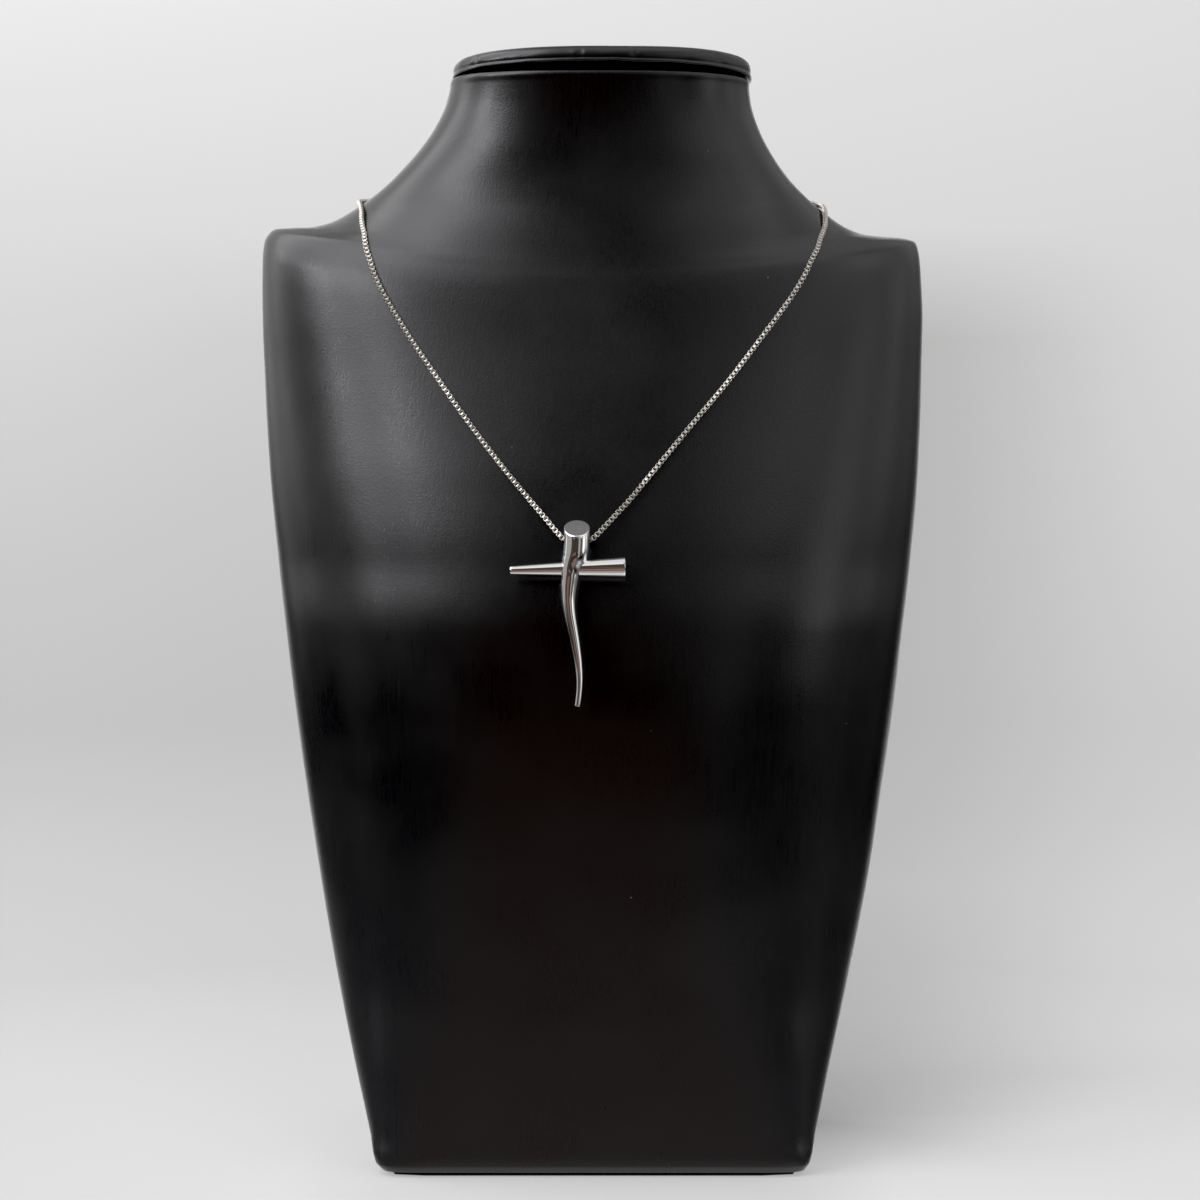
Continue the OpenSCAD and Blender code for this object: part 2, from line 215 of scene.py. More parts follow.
body_low, body_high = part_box("bust_body")
SHIFT = np.array([body_low.x + SECTIONS[:, LEFT].max(), body_high.y - SECTIONS[:, BACK].max(),
                  body_low.z - FOOT])


# Shape of the bust

def section(level):
    """The rows that the table has at these levels, by a cubic that never overshoots its neighbours."""
    level = np.asarray(level, float)
    band = np.diff(SECTIONS[:, LEVEL])[:, None]
    slope = np.diff(SECTIONS, axis=0) / band
    product, total = slope[:-1] * slope[1:], slope[:-1] + slope[1:]
    middle = np.where(product > 0, 2 * product / np.where(product > 0, total, 1), 0)
    tangent = np.vstack([slope[:1], middle, slope[-1:]])
    i = np.clip(np.searchsorted(SECTIONS[:, LEVEL], level, side="right") - 1, 0, len(SECTIONS) - 2)
    h = band[i]
    u = (level - SECTIONS[i, LEVEL])[..., None] / h
    return ((1 + 2 * u) * (1 - u) ** 2 * SECTIONS[i] + u * (1 - u) ** 2 * h * tangent[i]
            + u ** 2 * (3 - 2 * u) * SECTIONS[i + 1] + u ** 2 * (u - 1) * h * tangent[i + 1])


def oval(rows, degrees, grow=0.0):
    """Outline of sections at these angles, which may be grown."""
    c, n = np.cos(np.radians(degrees)), np.sin(np.radians(degrees))
    w = grow + np.where(c < 0, rows[..., LEFT], rows[..., RIGHT])
    d = grow + np.where(n < 0, rows[..., FRONT], rows[..., BACK])
    p = np.where(n < 0, rows[..., FRONT_SQ], rows[..., BACK_SQ])
    k = (np.abs(c) ** p + np.abs(n) ** p) ** (-1 / p)
    return w * c * k, d * n * k


def ease(x, low, high):
    u = np.clip((x - low) / (high - low), 0, 1)
    return u * u * (3 - 2 * u)


def height(rows, degrees):
    """Height of the skin of sections at these angles."""
    c, n = np.cos(np.radians(degrees)), np.sin(np.radians(degrees))
    up = np.where(c < 0, rows[..., UP_LEFT], rows[..., UP_RIGHT]) * c ** 2
    dip = COLLAR_DIP * np.minimum(0, n) ** 2 * ease(rows[..., LEVEL], COLLAR_FROM, NECK_TOP)
    return rows[..., LEVEL] + up - dip


def skin(level, degrees):
    """Points of the skin against the bust's upright line."""
    level, degrees = np.broadcast_arrays(np.asarray(level, float), np.asarray(degrees, float))
    rows = section(level)
    x, y = oval(rows, degrees)
    return np.stack([x, y, height(rows, degrees)], axis=-1)


def unit(v):
    return v / np.linalg.norm(v, axis=-1, keepdims=True)


def outward(level, degrees, e=0.05):
    """Outward directions of the skin."""
    level, degrees = np.asarray(level, float), np.asarray(degrees, float)
    rise = e / 1000
    return unit(np.cross(skin(level, degrees + e) - skin(level, degrees - e),
                         skin(level + rise, degrees) - skin(level - rise, degrees)))


def smooth(rows, n):
    """Rows on a smooth curve through these rows, n to each interval."""
    rows = np.asarray(rows, float)
    last = len(rows) - 1
    out = []
    for i in range(last):
        a, b, c, d = rows[max(i - 1, 0)], rows[i], rows[i + 1], rows[min(i + 2, last)]
        for k in range(n):
            u = k / n
            out.append(b + 0.5 * u * (c - a + u * (2 * a - 5 * b + 4 * c - d
                                                   + u * (3 * (b - c) + d - a))))
    out.append(rows[last])
    return np.array(out)


# Meshes

def mesh_object(name, points, faces, sharp_degrees=None):
    mesh = bpy.data.meshes.new(name)
    mesh.from_pydata(np.asarray(points, float).tolist(), [], faces)
    mesh.validate()
    mesh.shade_smooth()
    if sharp_degrees is not None:
        mesh.set_sharp_from_angle(angle=math.radians(sharp_degrees))
    made = bpy.data.objects.new(name, mesh)
    bpy.context.scene.collection.objects.link(made)
    return made


def loft(name, rings, low, high, sharp_degrees=None):
    """Closed mesh through rings of as many points each, whose ends fan from a middle point."""
    rings = np.asarray(rings, float)
    m, n, _ = rings.shape
    i = np.arange(n)
    j = (i + 1) % n
    first = (np.arange(m - 1) * n)[:, None]
    walls = np.stack([first + i, first + j, first + n + j, first + n + i], axis=-1).reshape(-1, 4)
    top = (m - 1) * n
    faces = walls.tolist()
    faces += np.stack([j, i, np.full(n, m * n)], axis=1).tolist()
    faces += np.stack([top + i, top + j, np.full(n, m * n + 1)], axis=1).tolist()
    return mesh_object(name, np.vstack([rings.reshape(-1, 3), [low, high]]), faces, sharp_degrees)


def waves(degrees, seed, periods, size):
    """A smooth random ripple round the bust that closes on itself."""
    draw = random.Random(seed)
    out = np.zeros_like(np.asarray(degrees, float))
    for count in periods:
        out += draw.uniform(0.5, 1) * np.sin(np.radians(degrees) * count + draw.uniform(0, 6.28))
    return out * size / len(periods)


def columns():
    """Angles of the bust's columns, closer together at the seam behind."""
    even = np.arange(0, 360, 1.25)
    near = np.array([0.15, 0.3, 0.45, 0.62, 0.8, 1.0, 1.6, 2.2])
    even = even[np.abs(even - 90) > 2.4]
    return np.sort(np.concatenate([even, [90], 90 - near, 90 + near]))


def lip_swell(level):
    """The faint swell of the skin under the lip."""
    return SWELL * np.exp(-((level - NECK_TOP + SWELL_DOWN) / SWELL_WIDTH) ** 2)


def seam(points, angles):
    """The seam behind: a narrow valley between two low rolls."""
    off = np.abs(points[..., 0])
    behind = np.sin(np.radians(angles)) > 0.5
    return np.where(behind, SEAM_ROLL * np.exp(-((off - SEAM_ROLL_AT) / SEAM_ROLL_WIDTH) ** 2)
                    - SEAM_DEPTH * np.exp(-(off / SEAM_WIDTH) ** 2), 0)


def wall_rings(levels, angles):
    """Rings up the skin, with its seam, the swell under the lip and slow hollows where it is drawn."""
    points = skin(levels[:, None], angles[None, :])
    inside = np.clip(levels, FOOT + 0.0001, NECK_TOP - 0.0001)
    normal = outward(inside[:, None], angles[None, :])
    swell = lip_swell(section(levels)[:, None, LEVEL])
    pull = waves(angles, 5, (7, 11, 16, 23), 0.00006) * np.sin(levels * 95)[:, None]
    return points + normal * (seam(points, angles) + swell + pull)[..., None]


def lip_rings(angles):
    """Rings over the lip and down to a shelf, then up to the core that carries the cap."""
    at = section(np.array([NECK_TOP - LIP]))[0]
    rim = height(at, angles)
    rings = []
    for turn in np.radians(np.arange(18, 181, 18)):
        x, y = oval(at, angles, lip_swell(NECK_TOP - LIP) - LIP * (1 - math.cos(turn)))
        rings.append(np.stack([x, y, rim + LIP * math.sin(turn)], axis=1))
    for inset, share, drop in CORE:
        x, y = oval(at, angles, -inset)
        rings.append(np.stack([x, y, rim + (CORE_TOP - rim) * share - drop], axis=1))
    return rings


def bust_skin():
    """The leatherette skin, with a rolled lip at the neck, a seam behind and a core under the cap."""
    angles = columns()
    levels = np.concatenate([
        np.linspace(FOOT, FOOT + 0.002, 5)[:-1], np.arange(FOOT + 0.002, 0.228, 0.0022),
        np.arange(0.228, 0.258, 0.0009), np.arange(0.258, 0.29, 0.0016),
        np.linspace(0.2912, NECK_TOP - LIP, 10)])
    rings = list(wall_rings(levels, angles)) + lip_rings(angles)
    return loft("bust_skin", np.array(rings) + SHIFT, SHIFT + [0, 0, FOOT], SHIFT + [0, 0, CORE_TOP])


def pinched(angles):
    """Depth of the pinches round the cap's rim."""
    pinch = np.zeros_like(angles)
    for at, depth, width in PINCHES:
        away = (angles - at + 180) % 360 - 180
        pinch += depth * (np.exp(-(away / width) ** 2) - 0.45 * np.exp(-(away / (2.6 * width)) ** 2))
    return pinch


def cap_pad():
    """The padded cap: a soft rim with a welt at its foot, pinched wrinkles and a crowned top."""
    angles = np.arange(0, 360, 1.0)
    turn = np.radians(angles)
    neck = section(np.array([NECK_TOP]))[0]
    front = np.minimum(0, np.sin(turn)) ** 2
    sag = CAP_SAG * np.cos(turn) ** 4
    fuller = CAP_RIGHT_RISE * ease(np.cos(turn), 0.1, 0.7)
    edge = waves(angles, 3, (9, 14, 21, 33), 0.0003)
    dent = pinched(angles) - waves(angles, 8, (6, 11, 17, 26), 0.00016)
    rings = []
    for inset, up, share in smooth(CAP_RIM, 5):
        # How much this ring belongs to the rim's face, the low edge and the welt's foot
        face = math.exp(-((up - 0.0026) / 0.0015) ** 2) * math.exp(-(inset / 0.003) ** 2)
        low = math.exp(-((up - 0.0003) / 0.0008) ** 2)
        foot = low * math.exp(-(inset / 0.0006) ** 2)
        x, y = oval(neck, angles, CAP_OVER - inset - dent * face)
        rise = (edge * low + CAP_RISE * share) * front + fuller * share * ease(up, 0.0012, 0.0035)
        rings.append(np.stack([x + CAP_SHIFT, y, CAP_BOTTOM + up + rise - sag * foot], axis=1))
    middle = np.array([CAP_SHIFT + (neck[RIGHT] - neck[LEFT]) / 2, 0, CAP_BOTTOM]) + SHIFT
    return loft("cap_pad", np.array(rings) + SHIFT, middle, middle + [0, 0, CAP_CROWN])


# The cross

def on_cross(p):
    """Takes points given from the cross's own top to the bust."""
    p = np.asarray(p, float)
    c, s = math.cos(LEAN), math.sin(LEAN)
    turned = np.stack([p[..., 0], p[..., 1] * c + p[..., 2] * s, -p[..., 1] * s + p[..., 2] * c], axis=-1)
    return turned + CROSS_TOP


def round_angles(sides):
    """Angles of the points of a round ring."""
    return np.radians(np.arange(sides) * 360 / sides)


def stem_top(a):
    """Rings of the slanted flat top and its soft edge, and on down to the first round ring."""
    r = STEM_TOP_D / 2
    slope = np.sin(a) * math.tan(CUT_SLOPE)
    rows = [(r * 0.5, 0), (2.2 * EDGE, 0), (EDGE, 0)]
    rows += [(EDGE * (1 - math.sin(t)), EDGE * (1 - math.cos(t)))
             for t in np.radians([22.5, 45, 67.5, 90])]
    rings = [np.stack([(r - inset) * np.cos(a), (r - inset) * np.sin(a), (r - inset) * slope - below],
                      axis=1) for inset, below in rows]
    down, _, wide = STEM[0]
    for share in np.linspace(0, 1, 12)[1:-1]:
        q = r + (wide / 2 - r) * share
        z = (r * slope - EDGE) * (1 - share) - down * share
        rings.append(np.stack([q * np.cos(a), q * np.sin(a), z], axis=1))
    return rings


def stem_curve(a):
    """Rings square to the stem's curve, down to its tip, which has a soft edge."""
    rows = smooth(STEM, 6)
    last = len(rows) - 1
    rings = []
    for i, (down, across, wide) in enumerate(rows):
        along = rows[min(i + 1, last)] - rows[max(i - 1, 0)]
        lean = math.atan2(along[1], along[0])
        square = np.stack([np.cos(a) * math.cos(lean), np.sin(a), np.cos(a) * math.sin(lean)], axis=1)
        centre = np.array([across, 0, -down])
        if i < last:
            rings.append(centre + wide / 2 * square)
    way = np.array([math.sin(lean), 0, -math.cos(lean)])
    for turn in np.radians([0, 30, 60, 90]):
        rings.append(centre + (wide / 2 - TIP_EDGE * (1 - math.cos(turn))) * square
                     - way * TIP_EDGE * (1 - math.sin(turn)))
    rings.append(centre + wide / 4 * square)
    return rings


def stem_solid():
    """The stem: a slanted flat top with a soft edge, then rings square to its curve."""
    a = round_angles(ROUND_SIDES)
    rings = np.array(stem_top(a) + stem_curve(a))[::-1]
    down, across, _ = STEM[-1]
    return loft("stem", on_cross(rings) + SHIFT, on_cross([across, 0, -down]) + SHIFT,
                CROSS_TOP + SHIFT)


def bar_solid():
    """The straight cone of the crossbar, with soft ends."""
    a = round_angles(ROUND_SIDES)
    profile = [(0, BAR_SMALL_R * 0.5)]
    for t in np.radians([0, 30, 60, 90]):
        profile.append((EDGE * (1 - math.cos(t)), BAR_SMALL_R - EDGE * (1 - math.sin(t))))
    for share in np.linspace(0, 1, 50)[1:-1]:
        profile.append((share * BAR_LENGTH, BAR_SMALL_R + share * (BAR_LARGE_R - BAR_SMALL_R)))
    for t in np.radians([90, 60, 30, 0]):
        profile.append((BAR_LENGTH - EDGE * (1 - math.cos(t)), BAR_LARGE_R - EDGE * (1 - math.sin(t))))
    profile.append((BAR_LENGTH, BAR_LARGE_R * 0.5))
    c, s = math.cos(BAR_RISE), math.sin(BAR_RISE)
    start = np.array([BAR_LEFT, BAR_BEHIND, -BAR_DOWN])
    axis = np.array([c, 0, s])
    rings = [start + axis * x + q * np.stack([-s * np.sin(a), np.cos(a), c * np.sin(a)], axis=1)
             for x, q in profile]
    return loft("bar", on_cross(np.array(rings)) + SHIFT, on_cross(start) + SHIFT,
                on_cross(start + axis * BAR_LENGTH) + SHIFT)


def tunnel_solid():
    """What the chain's tunnel takes out of the stem."""
    sides = 64
    a = round_angles(sides)
    rings = [np.stack([np.full(sides, x), TUNNEL_R * np.cos(a), TUNNEL_R * np.sin(a) - TUNNEL_DOWN],
                      axis=1) for x in (-TUNNEL_REACH, TUNNEL_REACH)]
    return loft("tunnel", on_cross(np.array(rings)) + SHIFT,
                on_cross([-TUNNEL_REACH, 0, -TUNNEL_DOWN]) + SHIFT,
                on_cross([TUNNEL_REACH, 0, -TUNNEL_DOWN]) + SHIFT)


def cross():
    """Both horns as one solid, with the tunnel through it."""
    made, bar, tunnel = stem_solid(), bar_solid(), tunnel_solid()
    for other, operation in ((bar, "UNION"), (tunnel, "DIFFERENCE")):
        cut = made.modifiers.new(operation, "BOOLEAN")
        cut.operation = operation
        cut.object = other
        cut.solver = "EXACT"
    depsgraph = bpy.context.evaluated_depsgraph_get()
    mesh = bpy.data.meshes.new_from_object(made.evaluated_get(depsgraph))
    for o in (made, bar, tunnel):
        bpy.data.objects.remove(o)
    mesh.name = "cross"
    mesh.shade_smooth()
    mesh.set_sharp_from_angle(angle=math.radians(32))
    made = bpy.data.objects.new("cross", mesh)
    bpy.context.scene.collection.objects.link(made)
    return made


# The chain and its clasp

def neck_behind():
    """How far the skin lies behind the upright line at the clasp."""
    return float(section(np.array([CLASP_LEVEL]))[0, BACK])


def chain_route():
    """Points along the chain, from the clasp over the left shoulder, through the cross and back."""
    end_y = neck_behind() + CLASP_GAP + CLASP_RADIUS
    sides = []
    for stations in (STATIONS_LEFT, STATIONS_RIGHT):
        s = smooth(stations, 2)
        sides.append(skin(s[:, 1], s[:, 0]) + outward(s[:, 1], s[:, 0]) * s[:, 2:3])
    ends = [np.array([[x, end_y, CLASP_LEVEL]]) for x in (-CHAIN_END_X, CHAIN_END_X)]
    return np.vstack([ends[0], sides[0], on_cross(TUNNEL_RUN), sides[1], ends[1]])


def link_shape(length):
    """Rings of one box link: a square loop with soft corners, bent from a flat strip."""
    t, half, e = LINK_THICKNESS, LINK_STRIP / 2, LINK_EDGE
    around = [(0.0, -half + e), (e, -half), (t - e, -half), (t, -half + e),
              (t, half - e), (t - e, half), (e, half), (0.0, half - e)]
    rings = []
    for cx, cy, start in ((1, 1, 0), (-1, 1, 90), (-1, -1, 180), (1, -1, 270)):
        x, y = cx * (length / 2 - LINK_CORNER), cy * (LINK_WIDTH / 2 - LINK_CORNER)
        for turn in np.radians([start, start + 30, start + 60, start + 90]):
            rings.append([(x + math.cos(turn) * (LINK_CORNER - depth),
                           y + math.sin(turn) * (LINK_CORNER - depth), across)
                          for depth, across in around])
    return np.array(rings)


def link_frames():
    """Each link's middle, its directions along the chain, aside and out, its roll, and the pitch."""
    route = smooth(chain_route(), 12)
    run = np.concatenate([[0], np.cumsum(np.linalg.norm(np.diff(route, axis=0), axis=1))])
    count = int(round(run[-1] / LINK_PITCH))
    pitch = run[-1] / count
    at = (np.arange(count) + 0.5) * pitch

    def place(s):
        return np.stack([np.interp(s, run, route[:, k]) for k in range(3)], axis=1)

    centre = place(at)
    along = unit(place(np.minimum(at + pitch, run[-1])) - place(np.maximum(at - pitch, 0)))
    out = np.stack([centre[:, 0], 2 * centre[:, 1], np.zeros(count)], axis=1)
    side = unit(np.cross(along, out))
    roll = np.interp(at - run[len(run) // 2], *zip(*ROLL))
    return centre, along, side, np.cross(side, along), roll, pitch


def link_faces(rings, around):
    """Quads of one link, whose rings close on themselves."""
    ring, edge = np.meshgrid(np.arange(rings), np.arange(around), indexing="ij")
    here, there = ring * around, (ring + 1) % rings * around
    after = (edge + 1) % around
    return np.stack([here + edge, there + edge, there + after, here + after], axis=-1).reshape(-1, 4)


def chain():
    """Every link of the box chain, each at a quarter turn to the next, hooked through it."""
    centre, along, side, up, roll, pitch = link_frames()
    shape = link_shape(pitch + 2 * LINK_THICKNESS + LINK_PLAY)
    quads = link_faces(*shape.shape[:2])
    shape = shape.reshape(-1, 3)
    draw = random.Random(11)
    points, faces = [], []
    for i in range(len(centre)):
        turn = math.radians(roll[i] + draw.uniform(-LINK_UNEVEN, LINK_UNEVEN) + 90 * (i % 2))
        flat = side[i] * math.cos(turn) + up[i] * math.sin(turn)
        high = up[i] * math.cos(turn) - side[i] * math.sin(turn)
        points.append(centre[i] + shape[:, :1] * along[i] + shape[:, 1:2] * flat + shape[:, 2:3] * high)
        faces.append(quads + i * len(shape))
    return mesh_object("chain", np.vstack(points) + SHIFT, np.vstack(faces).tolist(), 40)


def clasp_barrel():
    """The barrel clasp: two screwed halves with beads, and a blind hole for the chain at each end."""
    r, h = CLASP_RADIUS, CLASP_HALF
    # One half from the floor of its hole, over its end and bead to the knurled middle
    half = [(0.0, CLASP_HOLE), (CLASP_HOLE_R, CLASP_HOLE), (CLASP_HOLE_R, h - 0.0001), (0.00105, h),
            (0.0013, h), (0.0014, h - 0.0001), (0.00142, h - 0.0004), (0.0013, h - 0.0006),
            (0.0013, h - 0.0008), (0.00146, h - 0.001), (r, h - 0.0015), (r, 0.0016),
            (r - 0.0001, 0.0015), (r - 0.0001, 0.0012), (r, 0.0011), (r, 0.0002), (r - 0.00012, 0.00006)]
    profile = [(q, -x) for q, x in half] + [(q, x) for q, x in reversed(half)]
    sides = 48
    a = round_angles(sides)
    middle = np.array([0, neck_behind() + CLASP_GAP + r, CLASP_LEVEL]) + SHIFT
    rings = []
    for q, x in profile[1:-1]:
        knurled = 0.0002 < abs(x) < 0.0015 and q >= r - 1e-6
        q = q - (KNURL * (np.arange(sides) % 2) if knurled else 0)
        rings.append(middle + np.stack([np.full(sides, x), q * np.cos(a), q * np.sin(a)], axis=1))
    return loft("clasp_barrel", rings, middle - [CLASP_HOLE, 0, 0], middle + [CLASP_HOLE, 0, 0], 30)


# Materials

class Graph:
    """Short calls for making a node tree."""

    def __init__(self, tree):
        self.tree = tree
        tree.nodes.clear()

    def add(self, kind, inputs=None, **settings):
        node = self.tree.nodes.new(kind)
        for key, value in settings.items():
            setattr(node, key, value)
        for key, value in (inputs or {}).items():
            if isinstance(value, bpy.types.NodeSocket):
                self.tree.links.new(value, node.inputs[key])
            else:
                node.inputs[key].default_value = value
        return node

    def math(self, operation, a, b=0.0):
        return self.add("ShaderNodeMath", {0: a, 1: b}, operation=operation).outputs[0]

    def ramp(self, value, low, high, out_low=0.0, out_high=1.0, way="LINEAR"):
        """A value mapped from one range to another, and held at its ends."""
        inputs = {0: value, 1: low, 2: high, 3: out_low, 4: out_high}
        return self.add("ShaderNodeMapRange", inputs, interpolation_type=way).outputs[0]

    def soft_ramp(self, value, low, high, out_low=0.0, out_high=1.0):
        return self.ramp(value, low, high, out_low, out_high, "SMOOTHSTEP")

    def product(self, first, *others):
        for other in others:
            first = self.math("MULTIPLY", first, other)
        return first

    def sum(self, first, *others):
        for other in others:
            first = self.math("ADD", first, other)
        return first

    def vector_math(self, operation, a, b=None):
        inputs = {0: a} if b is None else {0: a, 1: b}
        return self.add("ShaderNodeVectorMath", inputs, operation=operation).outputs

    def mix(self, share, a, b):
        return self.add("ShaderNodeMix", {0: share, 6: a, 7: b}, data_type="RGBA").outputs[2]

    def mix_vector(self, share, a, b):
        return self.add("ShaderNodeMix", {0: share, 4: a, 5: b}, data_type="VECTOR").outputs[1]

    def noise(self, where, scale, detail=2.0, roughness=0.5):
        return self.add("ShaderNodeTexNoise", {"Vector": where, "Scale": scale, "Detail": detail,
                                               "Roughness": roughness}).outputs["Fac"]

    def stretched(self, where, x, y, z):
        return self.add("ShaderNodeMapping", {"Vector": where, "Scale": (x, y, z)}).outputs[0]

    def bump(self, level, distance, strength=1.0, normal=None):
        inputs = {"Height": level, "Distance": distance, "Strength": strength}
        if normal is not None:
            inputs["Normal"] = normal
        return self.add("ShaderNodeBump", inputs).outputs[0]


def new_material(name):
    material = bpy.data.materials.new(name)
    material.use_nodes = True
    graph = Graph(material.node_tree)
    where = graph.add("ShaderNodeTexCoord").outputs["Object"]
    return material, graph, where


def finish_material(graph, inputs):
    shader = graph.add("ShaderNodeBsdfPrincipled", inputs)
    graph.add("ShaderNodeOutputMaterial", {"Surface": shader.outputs[0]})


def leatherette(name, grain):
    """Smooth black leatherette: fine pressed grain, faint upright streaks of its backing, a little dust,
    and a painted reflection of the floor near the foot.
    """
    material, g, where = new_material(name)
    slow = g.noise(where, 45, 3)
    pores = g.add("ShaderNodeTexVoronoi", {"Vector": where, "Scale": grain}).outputs["Distance"]
    fine = g.noise(where, grain * 2.2, 3)
    streaks = g.noise(g.stretched(where, 1500, 1500, 60), 1, 2)
    weft = g.noise(g.stretched(where, 90, 90, 1300), 1, 2)
    normal = g.bump(pores, 0.00004, 0.35)
    normal = g.bump(fine, 0.00002, 0.5, normal)
    normal = g.bump(streaks, 0.00003, 0.5, normal)
    normal = g.bump(weft, 0.00002, 0.3, normal)
    # Dust: a few small specks
    cells = g.add("ShaderNodeTexVoronoi", {"Vector": where, "Scale": 190})
    speck = g.math("LESS_THAN", cells.outputs["Distance"], 0.035)
    chosen = g.add("ShaderNodeSeparateColor", {0: cells.outputs["Color"]}).outputs[0]
    dust = g.product(speck, g.math("GREATER_THAN", chosen, 0.93))
    leather = g.mix(g.ramp(slow, 0.35, 0.7), (0.0022, 0.0022, 0.0026, 1), (0.0042, 0.004, 0.0042, 1))
    # Painted reflection of the pale floor: the leatherette's colour is paler towards the foot
    low = g.ramp(g.add("ShaderNodeSeparateXYZ", {0: where}).outputs[2], 0.01, 0.11, 0.8, 0.0)
    leather = g.mix(low, leather, (0.024, 0.024, 0.026, 1))
    colour = g.mix(dust, leather, (0.22, 0.21, 0.2, 1))
    rough = g.sum(g.ramp(slow, 0.3, 0.7, 0.27, 0.33), g.ramp(streaks, 0.3, 0.7, -0.02, 0.02))
    finish_material(g, {"Base Color": colour, "Roughness": rough, "IOR": 1.58, "Normal": normal,
                        "Specular Tint": (0.98, 0.98, 1.02, 1)})
    return material


# Duller and brighter tone of the silver of the cross and clasp, and of the links
POLISHED = (0.86, 0.855, 0.85, 1), (0.93, 0.925, 0.92, 1)
TARNISHED = (0.58, 0.55, 0.51, 1), (0.76, 0.72, 0.67, 1)


def silver(name, roughness, scratch, dull, bright):
    """Silver with faint polishing lines and a slight change of tone."""
    material, g, where = new_material(name)
    tone = g.noise(where, 220, 3)
    lines = g.noise(g.stretched(where, 400, 400, 9000), 1, 2)
    pits = g.noise(where, 6000, 2)
    colour = g.mix(tone, dull, bright)
    rough = g.sum(g.ramp(tone, 0.3, 0.7, roughness * 0.8, roughness * 1.2),
                  g.ramp(lines, 0.55, 0.8, 0, scratch))
    normal = g.bump(pits, 0.000003, 0.3)
    finish_material(g, {"Base Color": colour, "Metallic": 1.0, "Roughness": rough, "Normal": normal})
    return material


def board_paint():
    """The thin board: black paint over wood, with its grain faintly through it."""
    material, g, where = new_material("board_paint")
    grain = g.noise(g.stretched(where, 60, 900, 900), 1, 4)
    colour = g.mix(grain, (0.006, 0.0055, 0.005, 1), (0.018, 0.016, 0.014, 1))
    rough = g.ramp(grain, 0.3, 0.7, 0.45, 0.6)
    finish_material(g, {"Base Color": colour, "Roughness": rough, "Normal": g.bump(grain, 0.00004, 0.4)})
    return material


# Stage, light and camera

# Camera: place, degrees below level, and focal length in mm
CAMERA_AT = (0.0021, -0.91965, 0.1945)
CAMERA_DOWN = 2.58
CAMERA_LENS = 99.84
# Paper: reach of the flat floor, radius of its sweep, and top of the wall
FLOOR_REACH = 0.9
SWEEP = 0.6
WALL_TOP = 2.4
# How much the bust's shade takes from the paper on either side
SHADE_LEFT = 0.16
SHADE_RIGHT = 0.72


def stage():
    """A pale floor that sweeps up into a wall all round."""
    wall = FLOOR_REACH + SWEEP
    profile = [(0.15, 0.0), (0.5, 0.0), (FLOOR_REACH, 0.0)]
    profile += [(FLOOR_REACH + SWEEP * math.sin(t), SWEEP * (1 - math.cos(t)))
                for t in np.radians(np.arange(7.5, 91, 7.5))]
    profile += [(wall, 1.0), (wall, 1.6), (wall, WALL_TOP)]
    sides = 96
    a = round_angles(sides)
    rings = np.array([np.stack([q * np.cos(a), q * np.sin(a), np.full(sides, z)], axis=1)
                      for q, z in profile])
    i = np.arange(sides)
    j = (i + 1) % sides
    faces = np.stack([np.full(sides, len(rings) * sides), i, j], axis=1).tolist()
    for first in np.arange(len(rings) - 1) * sides:
        faces += np.stack([first + i, first + sides + i, first + sides + j, first + j], axis=1).tolist()
    made = mesh_object("backdrop", np.vstack([rings.reshape(-1, 3), [[0, 0, 0]]]), faces)
    made.visible_glossy = False
    made.visible_diffuse = False
    made.visible_shadow = False
    made.data.materials.append(backdrop_paper())


def paper_glow(g, x, y, z):
    """Painted light of the bare paper: a glow which fades from its foot, grows up the wall and is lighter
    to the left up the wall.
    """
    away = g.math("SQRT", g.sum(g.product(x, x), g.product(y, y)))
    floor = g.sum(g.ramp(away, 0.1, 0.36, 0.44, 0.305), g.ramp(away, 0.36, 1.1, 0.0, -0.08))
    wall = g.ramp(z, 0.03, 0.55, 0.0, 0.42)
    tilt = g.product(x, wall, -0.5)
    # Painted light: the front of the floor is a little lighter on the right
    lift = g.product(g.ramp(x, 0.045, 0.08, 0.0, 0.05), g.ramp(y, -0.04, 0.06, 1.0, 0.0))
    return g.sum(floor, wall, tilt, lift)


def bust_shade(g, x, y, z):
    """The bust's soft shade, which moves outwards as it goes back and up the wall."""
    side = g.math("ABSOLUTE", x)
    back = g.math("MINIMUM", g.math("MAXIMUM", y, 0.0), 1.5)
    middle = g.sum(g.product(back, 0.11), 0.04)
    reach = g.math("MINIMUM", g.sum(g.product(back, 0.55), 0.08), g.sum(g.product(back, 0.07), 0.135))
    off = g.math("DIVIDE", g.math("ABSOLUTE", g.math("SUBTRACT", side, middle)), reach)
    depth = g.product(g.ramp(x, -0.02, 0.02, SHADE_LEFT, SHADE_RIGHT), g.ramp(back, 0.25, 0.55, 1.0, 0.68))
    ends = g.product(g.ramp(y, -0.02, 0.05), g.ramp(z, 0.27, 0.35, 1.0, 0.0))
    shade = g.product(g.soft_ramp(off, 0.0, 1.0, 1.0, 0.0), ends, depth)
    # Painted shadow: a darker strip along the front of the foot, where the bust's contact shadow falls
    strip = g.product(g.ramp(side, 0.055, 0.08, 0.13, 0.0), g.ramp(y, -0.02, 0.02, 1.0, 0.0))
    return g.sum(shade, strip)


